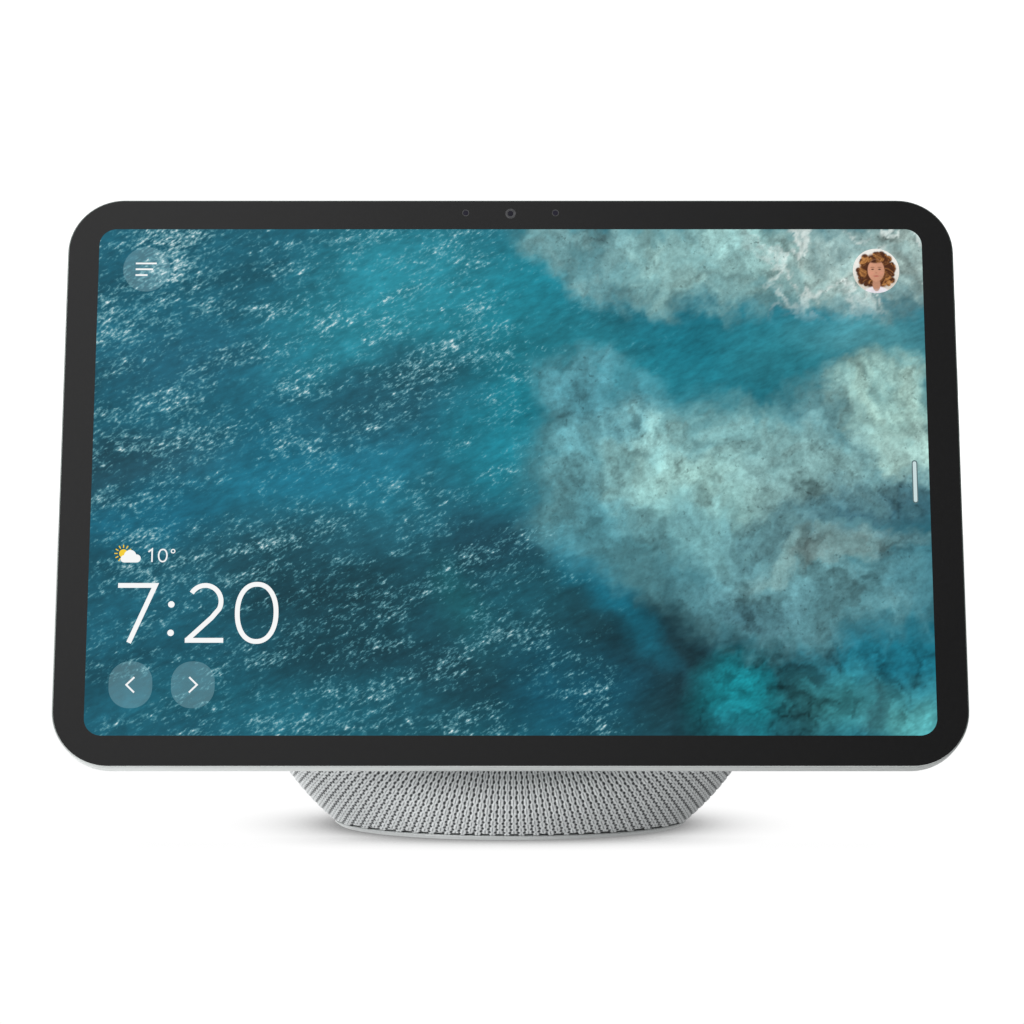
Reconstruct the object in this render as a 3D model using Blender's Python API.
"""A smart display: a thin leaning screen slab on a ball-shaped, fabric-covered speaker base.

Metres, +Z up, the screen faces -Y. The origin is the centre of the foot's underside.
Three frames are used: the world for the foot, the ball's axis frame for the base, and the
screen's frame for the slab. In both leaning frames X is to the viewer's right, Y runs up the
screen and Z points out of the glass towards the viewer.
"""

from math import acos, cos, pi, radians, sin, sqrt

import bmesh
import bpy
from mathutils import Matrix, Vector

MM = 0.001

# ---------------------------------------------------------------- driving dimensions
LEAN = radians(14.0)              # the screen leans back from the vertical
GAP = 0.3 * MM                    # clearance between touching pieces

BALL_RADIUS = 81.2 * MM           # outside of the fabric
BALL_HEIGHT = 63.5 * MM           # centre of the ball above the table
GLASS_AHEAD = 57.9 * MM           # ball centre to the glass's front face, along the axis
SCREEN_RISE = 25.4 * MM           # screen centre above the axis, up the screen

SLAB_WIDTH = 253.9 * MM
SLAB_HEIGHT = 165.0 * MM
SLAB_CORNER = 15.9 * MM
SLAB_DEPTH = 9.0 * MM
SLAB_BACK_EDGE = 1.2 * MM         # chamfer round the slab's back
WALL = 1.2 * MM
FLOOR = 1.4 * MM                  # the rear cover's back wall
GLASS_INSET = 0.35 * MM           # the rim shows this much round the glass
GLASS_THICKNESS = 1.1 * MM

PANEL_WIDTH = 240.4 * MM          # liquid crystal panel, behind the glass
PANEL_HEIGHT = 150.4 * MM
LCD_LEVELS = (-2.6 * MM, -1.4 * MM)           # back and front of each layer behind the glass
LIGHT_GUIDE_LEVELS = (-4.1 * MM, -2.9 * MM)
PAN_LEVELS = (-4.9 * MM, -4.4 * MM)
MIDFRAME_LEVELS = (-6.0 * MM, -5.2 * MM)
MIDFRAME_SIZE = (242.0 * MM, 158.0 * MM)
BOSS_RADIUS = 4.0 * MM
BOSS_BACK = -7.3 * MM
BOARD_LEVELS = (-7.3 * MM, -6.5 * MM)         # the boards and aerials behind the midframe
AERIAL_SIZE = (40.0 * MM, 8.0 * MM)
CAMERA_HEIGHT = 78.4 * MM         # above the glass's middle
SENSOR_SPREAD = 12.9 * MM         # each sensor window's offset from the camera
CABLE_HALF_WIDTH = 8.0 * MM       # the flat cable from the screen to the main board
CABLE_THICKNESS = 0.3 * MM
CABLE_LEVEL = -6.8 * MM
CABLE_BEND = 2.0 * MM

FABRIC_THICKNESS = 1.2 * MM
SHELL_RADIUS = 79.2 * MM
SHELL_THICKNESS = 2.2 * MM
FRONT_FLAT = 46.2 * MM            # the fabric's flat front, ahead of the ball's centre
FRONT_FILLET = 12.0 * MM
REAR_CUT = 69.2 * MM              # the fabric's rear rim, behind the ball's centre
COLLAR_RADIUS = 53.5 * MM
CABLE_HOLE = 12.5 * MM            # radius of the way through for the screen's cable

FOOT_RADIUS = 51.0 * MM
FOOT_BAND = 1.4 * MM              # visible height of the foot ring
FOOT_CLEAR = 0.3 * MM             # foot ring above the table

KEY_PROUD = 0.5 * MM
KEY_DEPTH = 2.4 * MM              # the keys' size through the slab
KEY_BEHIND_GLASS = 4.6 * MM
KEYS = (                          # name, height up the screen, length
    ("mic_camera_button", 51.4 * MM, 6.9 * MM),
    ("volume_up_button", 29.1 * MM, 10.4 * MM),
    ("volume_down_button", 17.0 * MM, 10.2 * MM),
)

SCREW_SHAFT = 1.6 * MM
SCREW_HOLE = 2.0 * MM
SCREW_HEAD = 3.1 * MM
DISPLAY_SCREW_SPREAD = 25.5 * MM  # each screw's offset from the axis, across and up
BOTTOM_SCREW_SPREAD = 24.0 * MM

BOX_HALF_WIDTH = 50.0 * MM        # speaker enclosure, across
BOX_HALF_HEIGHT = 34.0 * MM
BOX_FRONT = 27.0 * MM             # along the ball's axis, ahead of the centre
BOX_BACK = -34.0 * MM
BOX_WALL = 2.4 * MM
SPEAKERS_AT = -4.0 * MM           # the speakers' centres along the ball's axis
SIDE_SCALE = 0.65                 # the two side speakers' size against the woofer's
WOOFER_OPENING = 24.0 * MM        # radii of the sound holes in the shell
SIDE_OPENING = 17.0 * MM

MAIN_BOARD_BACK = 32.8 * MM       # along the ball's axis, ahead of the centre
BOARD_THICKNESS = 1.2 * MM
HEAT_SINK_FINS = 7
HEAT_SINK_REACH = (6.0 * MM, 30.0 * MM)       # its lower and upper end, up the board
FIN_HEIGHT = 2.4 * MM
FIN_ROOT = 1.0 * MM
POWER_BOARD_BACK = -51.2 * MM

PANEL_RADIUS = 38.9 * MM          # rear panel
PANEL_EDGE = 1.6 * MM
PANEL_CROWN = 1.6 * MM
INLET_UP = -14.0 * MM             # the power inlet, below the axis
INLET_RADIUS = 4.9 * MM
JACK_BACK = -56.0 * MM

BALL_STEPS = 40                   # facets round the fabric ball
BALL_ARC = 10                     # facets along its profile
SHELL_STEPS = 24                  # the hidden shell is coarser
SHELL_ARC = 6
DISC_STEPS = 32                   # facets round the foot and the flat discs
HOLE_STEPS = 10                   # facets round screw holes

# ---------------------------------------------------------------- colours and materials
FINISHES = {                      # name: colour, roughness, metallic
    "light_plastic": ((0.62, 0.64, 0.63), 0.45, 0.0),
    "dark_plastic": ((0.05, 0.05, 0.055), 0.5, 0.0),
    "black_glass": ((0.02, 0.02, 0.022), 0.08, 0.0),
    "lens_glass": ((0.03, 0.03, 0.05), 0.05, 0.0),
    "knit": ((0.42, 0.44, 0.44), 0.9, 0.0),
    "rubber": ((0.12, 0.12, 0.12), 0.8, 0.0),
    "board": ((0.03, 0.16, 0.09), 0.5, 0.0),
    "steel": ((0.55, 0.56, 0.58), 0.35, 1.0),
    "aluminium": ((0.75, 0.76, 0.77), 0.4, 1.0),
    "ferrite": ((0.08, 0.08, 0.085), 0.6, 0.3),
    "paper_cone": ((0.06, 0.06, 0.065), 0.85, 0.0),
    "clear_acrylic": ((0.9, 0.92, 0.94), 0.1, 0.0),
    "film": ((0.35, 0.2, 0.06), 0.4, 0.0),
}


def material(name):
    """The named finish as a Principled material, made once."""
    found = bpy.data.materials.get(name)
    if found:
        return found
    colour, roughness, metallic = FINISHES[name]
    made = bpy.data.materials.new(name)
    made.use_nodes = True
    shader = made.node_tree.nodes["Principled BSDF"]
    shader.inputs["Base Color"].default_value = (*colour, 1.0)
    shader.inputs["Roughness"].default_value = roughness
    shader.inputs["Metallic"].default_value = metallic
    return made


# ---------------------------------------------------------------- scene and frames
def clear_scene():
    for thing in list(bpy.data.objects):
        bpy.data.objects.remove(thing, do_unlink=True)


def make_frame(name, place, lean):
    """An empty whose Z axis points at the viewer, tipped up by the lean."""
    empty = bpy.data.objects.new(name, None)
    bpy.context.scene.collection.objects.link(empty)
    empty.location = place
    empty.rotation_euler = (pi / 2 - lean, 0.0, 0.0)
    return empty


def screen_centre():
    """Centre of the glass's front face, in the world."""
    outward = Vector((0.0, -cos(LEAN), sin(LEAN)))
    up = Vector((0.0, sin(LEAN), cos(LEAN)))
    return Vector((0.0, 0.0, BALL_HEIGHT)) + outward * GLASS_AHEAD + up * SCREEN_RISE


# ---------------------------------------------------------------- shape tools
def finish_mesh(name, shape, finish, parent=None, smooth=30.0):
    """Turn a bmesh into a named object with outward faces."""
    bmesh.ops.remove_doubles(shape, verts=shape.verts, dist=1e-7)
    bmesh.ops.recalc_face_normals(shape, faces=shape.faces)
    mesh = bpy.data.meshes.new(name)
    shape.to_mesh(mesh)
    shape.free()
    made = bpy.data.objects.new(name, mesh)
    bpy.context.scene.collection.objects.link(made)
    made.parent = parent
    if finish:
        mesh.materials.append(material(finish))
    mesh.shade_smooth()
    mesh.set_sharp_from_angle(angle=radians(smooth))
    return made


def rounded_rectangle(width, height, corner, steps=6):
    """Points round a rectangle with arc corners, anticlockwise."""
    points = []
    for quarter, (side, end) in enumerate(((1, 1), (-1, 1), (-1, -1), (1, -1))):
        centre_x = side * (width / 2 - corner)
        centre_y = end * (height / 2 - corner)
        for step in range(steps + 1):
            angle = pi / 2 * (quarter + step / steps)
            points.append((centre_x + corner * cos(angle), centre_y + corner * sin(angle)))
    return points


def circle(radius, steps, centre=(0.0, 0.0)):
    return [(centre[0] + radius * cos(2 * pi * k / steps),
             centre[1] + radius * sin(2 * pi * k / steps)) for k in range(steps)]


def shift(points, across, up):
    return [(x + across, y + up) for x, y in points]


def add_prism(shape, outline, low, high):
    """Extrude a flat outline from one height to another, inside a bmesh."""
    base = [shape.verts.new((x, y, low)) for x, y in outline]
    face = shape.faces.new(base)
    moved = bmesh.ops.extrude_face_region(shape, geom=[face])["geom"]
    tops = [item for item in moved if isinstance(item, bmesh.types.BMVert)]
    bmesh.ops.translate(shape, verts=tops, vec=(0.0, 0.0, high - low))


def plate(name, outline, low, high, finish, parent=None):
    shape = bmesh.new()
    add_prism(shape, outline, low, high)
    return finish_mesh(name, shape, finish, parent)


def lofted(name, rings, finish, parent=None):
    """A solid through matching closed rings of 3-D points, capped at both ends."""
    shape = bmesh.new()
    loops = [[shape.verts.new(point) for point in ring] for ring in rings]
    count = len(rings[0])
    for lower, upper in zip(loops, loops[1:]):
        for k in range(count):
            shape.faces.new((lower[k], lower[(k + 1) % count], upper[(k + 1) % count], upper[k]))
    shape.faces.new(loops[0])
    shape.faces.new(loops[-1])
    return finish_mesh(name, shape, finish, parent)


def turned(name, profile, finish, parent=None, steps=20, axis="z", centre=(0, 0, 0), ring=False):
    """Spin (radius, height) points about an axis. A ring's profile is closed, clear of the axis."""
    shape = bmesh.new()
    points = [shape.verts.new((radius, 0.0, height)) for radius, height in profile]
    pairs = list(zip(points, points[1:]))
    if ring:
        pairs.append((points[-1], points[0]))
    edges = [shape.edges.new(pair) for pair in pairs]
    bmesh.ops.spin(shape, geom=points + edges, cent=(0, 0, 0), axis=(0, 0, 1),
                   angle=2 * pi, steps=steps, use_merge=True)
    turn = {"z": Matrix.Identity(4),
            "y": Matrix.Rotation(-pi / 2, 4, "X"),
            "x": Matrix.Rotation(pi / 2, 4, "Y"),
            "-x": Matrix.Rotation(-pi / 2, 4, "Y")}[axis]
    bmesh.ops.transform(shape, matrix=Matrix.Translation(Vector(centre)) @ turn, verts=shape.verts)
    return finish_mesh(name, shape, finish, parent)


def block(name, low, high, finish, parent=None, edge=0.0):
    """A box between two corners, with bevelled edges where asked."""
    shape = bmesh.new()
    corners = [(low[0], low[1]), (high[0], low[1]), (high[0], high[1]), (low[0], high[1])]
    add_prism(shape, corners, low[2], high[2])
    if edge:
        bmesh.ops.bevel(shape, geom=shape.edges[:], offset=edge, segments=2, profile=0.5,
                        affect="EDGES", clamp_overlap=True)
    return finish_mesh(name, shape, finish, parent)


def cut(target, cutter):
    """Take a cutter away from a piece. The cutter stays out of the model."""
    cutter.hide_render = True
    cutter.display_type = "WIRE"
    knife = target.modifiers.new("cut_" + cutter.name, "BOOLEAN")
    knife.operation = "DIFFERENCE"
    knife.object = cutter


def hole_cutter(name, outlines, low, high, parent):
    """One cutter made of several prisms, for holes that share a direction."""
    shape = bmesh.new()
    for outline in outlines:
        add_prism(shape, outline, low, high)
    return finish_mesh(name, shape, None, parent)


def four_places(spread):
    return [(side * spread, end * spread) for end in (1, -1) for side in (-1, 1)]


# ---------------------------------------------------------------- the screen slab
def make_glass(screen):
    outline = rounded_rectangle(SLAB_WIDTH - 2 * GLASS_INSET, SLAB_HEIGHT - 2 * GLASS_INSET,
                                SLAB_CORNER - GLASS_INSET)
    plate("cover_glass", outline, -GLASS_THICKNESS, 0.0, "black_glass", screen)


def make_screen_stack(screen):
    """Panel, light guide, reflector pan and the frame that carries them, front to back."""
    panel = rounded_rectangle(PANEL_WIDTH, PANEL_HEIGHT, 2 * MM, 2)
    plate("lcd_panel", panel, *LCD_LEVELS, "dark_plastic", screen)
    plate("light_guide", panel, *LIGHT_GUIDE_LEVELS, "clear_acrylic", screen)
    plate("backlight_pan", panel, *PAN_LEVELS, "steel", screen)

    outline = rounded_rectangle(*MIDFRAME_SIZE, 10 * MM, 4)
    frame = plate("display_midframe", outline, *MIDFRAME_LEVELS, "aluminium", screen)
    inside_frame = sum(MIDFRAME_LEVELS) / 2
    shape = bmesh.new()
    for across, up in four_places(DISPLAY_SCREW_SPREAD):
        boss = circle(BOSS_RADIUS, HOLE_STEPS, (across, up - SCREEN_RISE))
        add_prism(shape, boss, BOSS_BACK, inside_frame)
    bosses = finish_mesh("midframe_bosses", shape, None, screen)
    bosses.hide_render = True
    bosses.display_type = "WIRE"
    join = frame.modifiers.new("bosses", "BOOLEAN")
    join.operation = "UNION"
    join.object = bosses
    holes = [circle(SCREW_HOLE, HOLE_STEPS, (across, up - SCREEN_RISE))
             for across, up in four_places(DISPLAY_SCREW_SPREAD)]
    cable_way = rounded_rectangle(22 * MM, 44 * MM, 4 * MM, 3)
    holes.append(shift(cable_way, 0.0, -SCREEN_RISE - 12 * MM))
    cut(frame, hole_cutter("midframe_holes", holes, -8 * MM, -5 * MM, screen))


def make_rear_cover(screen):
    """A tray: floor at the back, walls up to the glass, key slots in the right-hand wall."""
    front = -GLASS_THICKNESS - GAP
    outer = rounded_rectangle(SLAB_WIDTH, SLAB_HEIGHT, SLAB_CORNER)
    shrink = 2 * SLAB_BACK_EDGE
    back = rounded_rectangle(SLAB_WIDTH - shrink, SLAB_HEIGHT - shrink, SLAB_CORNER - shrink / 2)
    rings = [[(x, y, front) for x, y in outer],
             [(x, y, -SLAB_DEPTH + SLAB_BACK_EDGE) for x, y in outer],
             [(x, y, -SLAB_DEPTH) for x, y in back]]
    cover = lofted("display_rear_cover", rings, "light_plastic", screen)

    inner = rounded_rectangle(SLAB_WIDTH - 2 * WALL, SLAB_HEIGHT - 2 * WALL, SLAB_CORNER - WALL)
    cut(cover, plate("cover_hollow", inner, -SLAB_DEPTH + FLOOR, 1 * MM, None, screen))

    holes = [circle(SCREW_HOLE, HOLE_STEPS, (across, up - SCREEN_RISE))
             for across, up in four_places(DISPLAY_SCREW_SPREAD)]
    holes.append(circle(CABLE_HOLE, 20, (0.0, -SCREEN_RISE)))
    cut(cover, hole_cutter("cover_holes", holes, -SLAB_DEPTH - 1 * MM, -6 * MM, screen))

    slots = bmesh.new()
    for _, height, length in KEYS:
        reach = length / 2 + GAP
        middle = -KEY_BEHIND_GLASS
        half = KEY_DEPTH / 2 + GAP
        corners = [(SLAB_WIDTH / 2 - 2 * WALL, height - reach), (SLAB_WIDTH / 2 + WALL, height - reach),
                   (SLAB_WIDTH / 2 + WALL, height + reach), (SLAB_WIDTH / 2 - 2 * WALL, height + reach)]
        add_prism(slots, corners, middle - half, middle + half)
    cut(cover, finish_mesh("key_slots", slots, None, screen))


def make_keys(screen):
    """Three keys: a cap through the wall, and a flange inside that keeps it in."""
    face = SLAB_WIDTH / 2 + KEY_PROUD
    wall_inside = SLAB_WIDTH / 2 - WALL
    flange_top = wall_inside - GAP
    flange_low = flange_top - 1.0 * MM
    for name, height, length in KEYS:
        half = KEY_DEPTH / 2
        steps = ((flange_low, 0.8 * MM), (flange_top, 0.8 * MM), (flange_top, 0.0),
                 (face - 0.25 * MM, 0.0), (face, -0.25 * MM))
        rings = []
        for across, extra in steps:
            tall = length / 2 + extra
            deep = half + extra * 0.9
            outline = rounded_rectangle(2 * tall, 2 * deep, min(deep, tall) * 0.7, 3)
            rings.append([(across, height + along, -KEY_BEHIND_GLASS + through)
                          for along, through in outline])
        lofted(name, rings, "light_plastic", screen)

    board_face = flange_low - 0.7 * MM
    block("button_board", (board_face - 0.8 * MM, 8 * MM, -7.0 * MM),
          (board_face, 58 * MM, -2.2 * MM), "board", screen)


def make_camera(screen):
    """The camera and two light pipes behind the glass's top border, and their board."""
    height = CAMERA_HEIGHT
    front = LCD_LEVELS[1]
    lens = [(0, -1.9 * MM), (1.65 * MM, -1.9 * MM), (1.65 * MM, front), (0, front)]
    turned("camera_lens", lens, "lens_glass", screen, 16, centre=(0, height, 0))
    block("camera_module", (-3.2 * MM, height - 2.6 * MM, -3.9 * MM),
          (3.2 * MM, height + 2.2 * MM, -2.2 * MM), "dark_plastic", screen, 0.3 * MM)
    pipe = [(0, -3.9 * MM), (1.1 * MM, -3.9 * MM), (1.1 * MM, front), (0, front)]
    for name, side in (("left_sensor_window", -1), ("right_sensor_window", 1)):
        turned(name, pipe, "lens_glass", screen, 12, centre=(side * SENSOR_SPREAD, height + 0.2 * MM, 0))
    block("sensor_board", (-18 * MM, height - 2.6 * MM, -4.9 * MM),
          (18 * MM, height + 2.2 * MM, -4.2 * MM), "board", screen)


def make_slab_electronics(screen):
    """The screen's driver board, two aerials and the flat cable down to the base."""
    low, high = BOARD_LEVELS
    block("display_driver_board", (-55 * MM, -71 * MM, low), (55 * MM, -61 * MM, high), "board", screen)
    for name, side in (("left_antenna", -1), ("right_antenna", 1)):
        outline = rounded_rectangle(*AERIAL_SIZE, 1 * MM, 2)
        plate(name, shift(outline, side * 80 * MM, 66 * MM), low, high, "film", screen)

    # The cable lies behind the frame, turns through the cable hole and runs back to the main board.
    start, turn_at = -60 * MM, -SCREEN_RISE
    end = 36.5 * MM - GLASS_AHEAD
    section = []
    for depth in (0.0, CABLE_THICKNESS):
        radius = CABLE_BEND - depth
        side = [(start, CABLE_LEVEL - depth), (turn_at - CABLE_BEND, CABLE_LEVEL - depth)]
        for step in range(1, 5):
            angle = pi / 2 * step / 4
            side.append((turn_at - CABLE_BEND + radius * sin(angle),
                         CABLE_LEVEL - CABLE_BEND + radius * cos(angle)))
        side.append((turn_at - depth, end))
        section += side if depth == 0.0 else side[::-1]
    rings = [[(across, up, through) for up, through in section]
             for across in (-CABLE_HALF_WIDTH, CABLE_HALF_WIDTH)]
    lofted("display_cable", rings, "film", screen)


# ---------------------------------------------------------------- the ball-shaped base
def ball_profile(radius, front, fillet, rear, steps):
    """Points from the end of the flat front, over the fillet and the sphere, to the rear cut."""
    centre_height = front - fillet
    centre_radius = sqrt((radius - fillet) ** 2 - centre_height ** 2)
    start = acos(centre_height / (radius - fillet))
    points = []
    for k in range(4):
        angle = start * k / 4
        points.append((centre_radius + fillet * sin(angle), centre_height + fillet * cos(angle)))
    stop = acos(-rear / radius)
    for k in range(steps + 1):
        angle = start + (stop - start) * k / steps
        points.append((radius * sin(angle), radius * cos(angle)))
    return points


def make_ball_skin(name, radius, thickness, front, lip, rear, finish, parent, steps, arc):
    """A hollow ball with an open flat front and an open rear, turned about the axis."""
    outside = ball_profile(radius, front, FRONT_FILLET, rear, arc)
    inside = ball_profile(radius - thickness, front - thickness, FRONT_FILLET - thickness, rear, arc)
    profile = [(lip, front)] + outside + inside[::-1] + [(lip, front - thickness)]
    return turned(name, profile, finish, parent, steps, ring=True)


def floor_cutter(name, top):
    """A block that fills everything below a height, to stand the ball flat."""
    reach = 2 * BALL_RADIUS
    return block(name, (-reach, -reach, -reach), (reach, reach, top), None)


def make_fabric(axis):
    fabric = make_ball_skin("fabric_cover", BALL_RADIUS, FABRIC_THICKNESS, FRONT_FLAT,
                            COLLAR_RADIUS + GAP, REAR_CUT, "knit", axis, BALL_STEPS, BALL_ARC)
    cut(fabric, floor_cutter("fabric_floor", FOOT_CLEAR + FOOT_BAND + GAP))


def make_base_shell(axis):
    """The moulded ball under the fabric, with sound holes for the three speakers."""
    front = FRONT_FLAT - FABRIC_THICKNESS - 0.7 * MM
    shell = make_ball_skin("base_shell", SHELL_RADIUS, SHELL_THICKNESS, front,
                           CABLE_HOLE, REAR_CUT - 1.2 * MM, "dark_plastic", axis,
                           SHELL_STEPS, SHELL_ARC)
    cut(shell, floor_cutter("shell_floor", 5.0 * MM))
    holes = [circle(SCREW_HOLE, HOLE_STEPS, place) for place in four_places(DISPLAY_SCREW_SPREAD)]
    cut(shell, hole_cutter("shell_screw_holes", holes, front - 5 * MM, front + 5 * MM, axis))
    for name, direction, radius in (("woofer_sound_hole", "y", WOOFER_OPENING),
                                    ("left_sound_hole", "-x", SIDE_OPENING),
                                    ("right_sound_hole", "x", SIDE_OPENING)):
        drill = [(0, 60 * MM), (radius, 60 * MM), (radius, 90 * MM), (0, 90 * MM)]
        cut(shell, turned(name, drill, None, axis, 16, direction, (0, 0, SPEAKERS_AT)))
    return front


def make_collar(axis, shell_front):
    """The spacer between slab and ball, the steel plate inside, and the four screws."""
    back = shell_front + GAP
    front = GLASS_AHEAD - SLAB_DEPTH - GAP
    holes = [circle(SCREW_HOLE, HOLE_STEPS, place) for place in four_places(DISPLAY_SCREW_SPREAD)]
    holes.append(circle(CABLE_HOLE, 20))
    collar = plate("front_collar", circle(COLLAR_RADIUS, DISC_STEPS), back, front, "light_plastic", axis)
    cut(collar, hole_cutter("collar_holes", holes, back - 1 * MM, front + 1 * MM, axis))

    plate_front = shell_front - SHELL_THICKNESS - GAP
    plate_back = plate_front - 2 * MM
    strong = plate("mounting_plate", circle(44 * MM, 24), plate_back, plate_front, "steel", axis)
    cut(strong, hole_cutter("mounting_plate_holes", holes, plate_back - 1 * MM, plate_front + 1 * MM, axis))

    head_top = plate_back - GAP
    tip = GLASS_AHEAD - 5.5 * MM
    for number, (across, up) in enumerate(four_places(DISPLAY_SCREW_SPREAD), 1):
        profile = [(0, head_top - 1.8 * MM), (SCREW_HEAD, head_top - 1.8 * MM), (SCREW_HEAD, head_top),
                   (SCREW_SHAFT, head_top), (SCREW_SHAFT, tip - 0.6 * MM), (SCREW_SHAFT * 0.6, tip), (0, tip)]
        turned(f"display_screw_{number}", profile, "steel", axis, 8, centre=(across, up, 0))


def make_boards(axis):
    """Main board with its heat sink and screening can, and the power board at the back."""
    front = MAIN_BOARD_BACK + BOARD_THICKNESS
    main = block("main_board", (-44 * MM, -32 * MM, MAIN_BOARD_BACK), (44 * MM, 32 * MM, front),
                 "board", axis)
    notch = rounded_rectangle(20 * MM, 8 * MM, 0.5 * MM, 1)
    cut(main, hole_cutter("main_board_slot", [notch], MAIN_BOARD_BACK - 1 * MM, front + 1 * MM, axis))

    low, high = -24 * MM, 24 * MM
    pitch = (high - low) / (2 * HEAT_SINK_FINS - 1)
    outline = [(low, 0.0)]
    for k in range(HEAT_SINK_FINS):
        left = low + 2 * k * pitch
        outline += [(left, FIN_HEIGHT), (left + pitch, FIN_HEIGHT)]
        if k < HEAT_SINK_FINS - 1:
            outline += [(left + pitch, FIN_ROOT), (left + 2 * pitch, FIN_ROOT)]
    outline.append((high, 0.0))
    shape = bmesh.new()
    add_prism(shape, outline, *HEAT_SINK_REACH)
    stand = Matrix(((1, 0, 0, 0), (0, 0, 1, 0), (0, 1, 0, front + GAP), (0, 0, 0, 1)))
    bmesh.ops.transform(shape, matrix=stand, verts=shape.verts)
    finish_mesh("heat_sink", shape, "aluminium", axis)

    can_front = MAIN_BOARD_BACK - GAP
    block("shield_can", (-20 * MM, -28 * MM, can_front - 2.7 * MM), (20 * MM, -6 * MM, can_front),
          "steel", axis, 0.6 * MM)
    block("power_board", (-24 * MM, -28 * MM, POWER_BOARD_BACK),
          (24 * MM, 8 * MM, POWER_BOARD_BACK + BOARD_THICKNESS), "board", axis)


def make_rear_panel(axis):
    """The round rear panel with cooling slots and the power inlet."""
    seat = -(REAR_CUT - 0.9 * MM)
    rim = seat - PANEL_EDGE
    outer = [(PANEL_RADIUS * sqrt(1 - k / 3), rim - PANEL_CROWN * k / 3) for k in range(4)]
    profile = [(0, seat), (PANEL_RADIUS, seat)] + outer
    panel = turned("rear_panel", profile, "light_plastic", axis, DISC_STEPS)

    low, high = -76 * MM, -60 * MM
    shape = bmesh.new()
    for row in range(6):
        up = (6 + 4.2 * row) * MM
        half = (20 - 1.6 * row) * MM
        slot = rounded_rectangle(2 * half, 1.6 * MM, 0.79 * MM, 2)
        add_prism(shape, shift(slot, 0.0, up), low, high)
    add_prism(shape, circle(INLET_RADIUS, 16, (0.0, INLET_UP)), low, high)
    cut(panel, finish_mesh("rear_panel_holes", shape, None, axis))

    # The jack's socket, its pin, and a flange behind the panel.
    mouth = rim + 0.4 * MM
    socket, pin, barrel, flange = 3.5 * MM, 1.0 * MM, 4.5 * MM, 6.0 * MM
    bottom = JACK_BACK - 1.5 * MM
    pin_tip = mouth + 5.6 * MM
    profile = [(0, pin_tip), (pin, pin_tip), (pin, bottom), (socket, bottom), (socket, mouth),
               (barrel, mouth), (barrel, seat + GAP), (flange, seat + GAP), (flange, JACK_BACK),
               (0, JACK_BACK)]
    turned("power_jack", profile, "dark_plastic", axis, 16, centre=(0, INLET_UP, 0))


# ---------------------------------------------------------------- speakers
def make_enclosure(axis):
    shape = bmesh.new()
    outline = rounded_rectangle(2 * BOX_HALF_WIDTH, 2 * BOX_HALF_HEIGHT, 8 * MM, 3)
    add_prism(shape, outline, BOX_BACK, BOX_FRONT)
    box = finish_mesh("speaker_enclosure", shape, "dark_plastic", axis)
    hollow = rounded_rectangle(2 * (BOX_HALF_WIDTH - BOX_WALL), 2 * (BOX_HALF_HEIGHT - BOX_WALL),
                               8 * MM - BOX_WALL, 3)
    cut(box, plate("enclosure_hollow", hollow, BOX_BACK + BOX_WALL, BOX_FRONT - BOX_WALL, None, axis))
    high = [(0, 25 * MM), (27 * MM, 25 * MM), (27 * MM, 45 * MM), (0, 45 * MM)]
    cut(box, turned("woofer_seat", high, None, axis, 20, "y", (0, 0, SPEAKERS_AT)))
    wide = [(0, 40 * MM), (17.5 * MM, 40 * MM), (17.5 * MM, 60 * MM), (0, 60 * MM)]
    cut(box, turned("left_driver_seat", wide, None, axis, 16, "-x", (0, 0, SPEAKERS_AT)))
    cut(box, turned("right_driver_seat", wide, None, axis, 16, "x", (0, 0, SPEAKERS_AT)))


def make_speaker(name, axis, direction, face, scale, steps):
    """A basket, magnet, surround and cone about one axis. The points are the woofer's, in
    millimetres from its axis and from its mounting face, and the scale fits the smaller ones."""
    def at(points):
        return [(radius * scale * MM, face + height * scale * MM) for radius, height in points]

    centre = (0, 0, SPEAKERS_AT)
    basket = at([(24.4, 2.2), (30, 2.2), (30, 0.3), (26, 0.3), (16, -13), (16, -14.4), (9.2, -14.4),
                 (9.2, -13), (14.8, -13), (24.4, 0)])
    turned(name + "_frame", basket, "steel", axis, steps, direction, centre, ring=True)
    magnet = at([(0, -24), (17, -24), (17, -14.8), (0, -14.8)])
    turned(name + "_magnet", magnet, "ferrite", axis, steps, direction, centre)
    roll = at([(21.7, -0.2), (22.8, 1.0), (23.9, 0.3), (23.9, 1.2), (22.8, 2.0), (21.7, 0.8)])
    turned(name + "_surround", roll, "rubber", axis, steps, direction, centre, ring=True)
    cone = at([(0, -6.0), (4, -6.4), (7.2, -8.6), (7.2, -11.2), (8.2, -11.2), (8.2, -8.4),
               (21.2, -0.9), (21.2, 0.2), (8.2, -6.9), (4, -5.2), (0, -4.8)])
    turned(name + "_cone", cone, "paper_cone", axis, steps, direction, centre)


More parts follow.
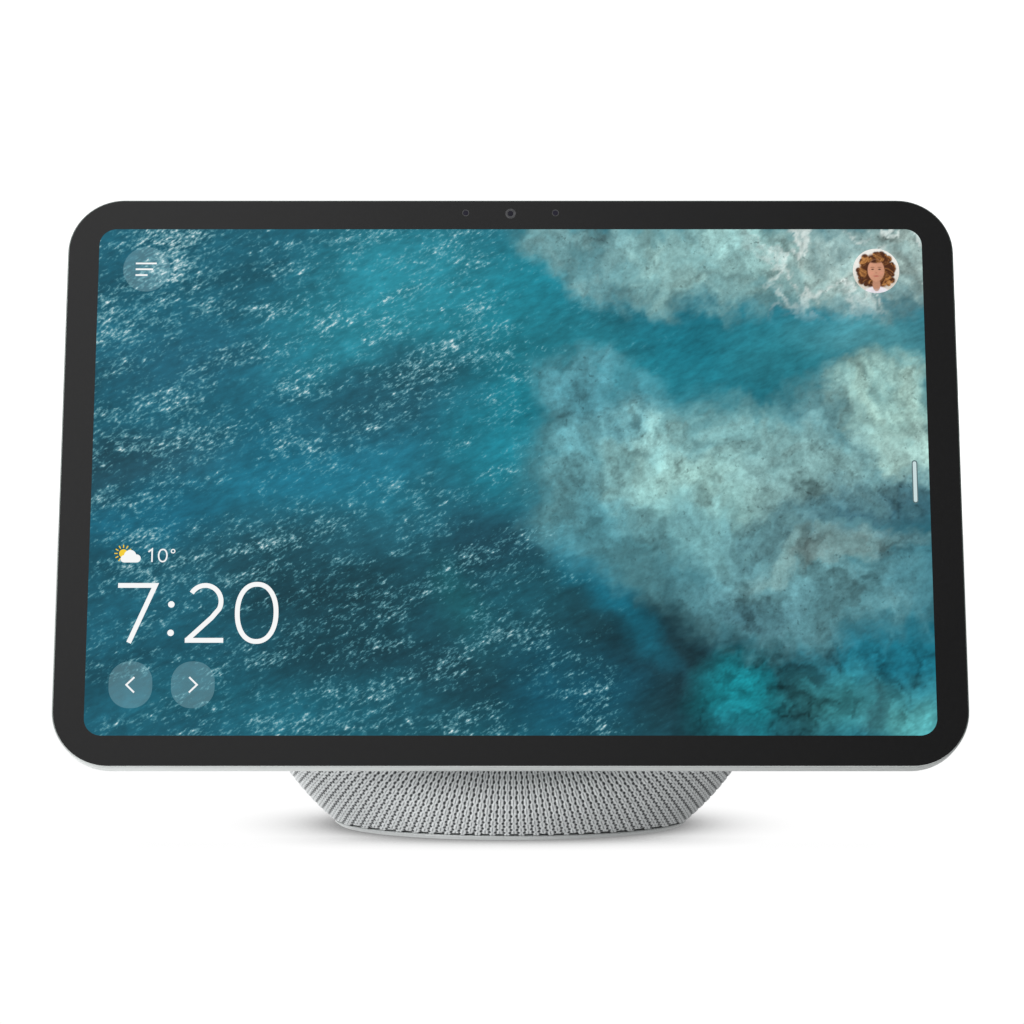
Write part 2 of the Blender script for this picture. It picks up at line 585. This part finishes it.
# ---------------------------------------------------------------- the foot
def make_foot():
    """Foot ring, rubber pad, bottom plate, steel weight and the four screws under the pad."""
    top = FOOT_CLEAR + FOOT_BAND
    pad_radius, pad_top = 45.9 * MM, 2.4 * MM
    ring_inside, ring_step, ring_top = 46.3 * MM, 49.8 * MM, 3.0 * MM
    ring = [(ring_inside, FOOT_CLEAR), (FOOT_RADIUS - 0.2 * MM, FOOT_CLEAR), (FOOT_RADIUS + 1.1 * MM, top),
            (ring_step, top), (ring_step, ring_top), (ring_inside, ring_top)]
    turned("foot_ring", ring, "light_plastic", None, BALL_STEPS, ring=True)
    pad = [(0, 0), (pad_radius - 0.5 * MM, 0), (pad_radius, 0.5 * MM), (pad_radius, pad_top), (0, pad_top)]
    turned("rubber_foot", pad, "rubber", None, BALL_STEPS)

    below = pad_top + GAP
    step_low = ring_top + GAP
    step_high, inside = 4.7 * MM, 6.5 * MM
    rim = FOOT_RADIUS + GAP
    profile = [(0, below), (pad_radius, below), (pad_radius, step_low), (rim, step_low),
               (rim, step_high), (pad_radius + 0.1 * MM, step_high), (pad_radius + 0.1 * MM, inside),
               (0, inside)]
    base = turned("bottom_plate", profile, "dark_plastic", None, BALL_STEPS)
    weight_low = inside + GAP
    weight_high = weight_low + 6 * MM
    weight = plate("ballast_weight", circle(46 * MM, DISC_STEPS), weight_low, weight_high, "steel")

    places = four_places(BOTTOM_SCREW_SPREAD)
    holes = [circle(SCREW_HOLE, HOLE_STEPS, place) for place in places]
    recesses = [circle(3.5 * MM, HOLE_STEPS, place) for place in places]
    cut(base, hole_cutter("plate_holes", holes, 0, 9 * MM, None))
    cut(base, hole_cutter("plate_recesses", recesses, 0, 4.3 * MM, None))
    cut(weight, hole_cutter("weight_holes", holes, weight_low - 1 * MM, weight_high + 1 * MM, None))
    head, neck, tip = 2.8 * MM, 4.0 * MM, 12.0 * MM
    screw = [(0, head), (SCREW_HEAD, head), (SCREW_HEAD, neck), (SCREW_SHAFT, neck),
             (SCREW_SHAFT, tip - 0.6 * MM), (SCREW_SHAFT * 0.6, tip), (0, tip)]
    for number, (across, along) in enumerate(places, 1):
        turned(f"bottom_screw_{number}", screw, "steel", None, 8, centre=(across, along, 0))


def main():
    clear_scene()
    screen = make_frame("screen_frame", screen_centre(), LEAN)
    axis = make_frame("ball_frame", (0.0, 0.0, BALL_HEIGHT), LEAN)
    make_glass(screen)
    make_screen_stack(screen)
    make_rear_cover(screen)
    make_keys(screen)
    make_camera(screen)
    make_slab_electronics(screen)
    make_fabric(axis)
    shell_front = make_base_shell(axis)
    make_collar(axis, shell_front)
    make_boards(axis)
    make_rear_panel(axis)
    make_enclosure(axis)
    make_speaker("woofer", axis, "y", BOX_HALF_HEIGHT, 1.0, 24)
    make_speaker("left_driver", axis, "-x", BOX_HALF_WIDTH, SIDE_SCALE, 16)
    make_speaker("right_driver", axis, "x", BOX_HALF_WIDTH, SIDE_SCALE, 16)
    make_foot()


main()
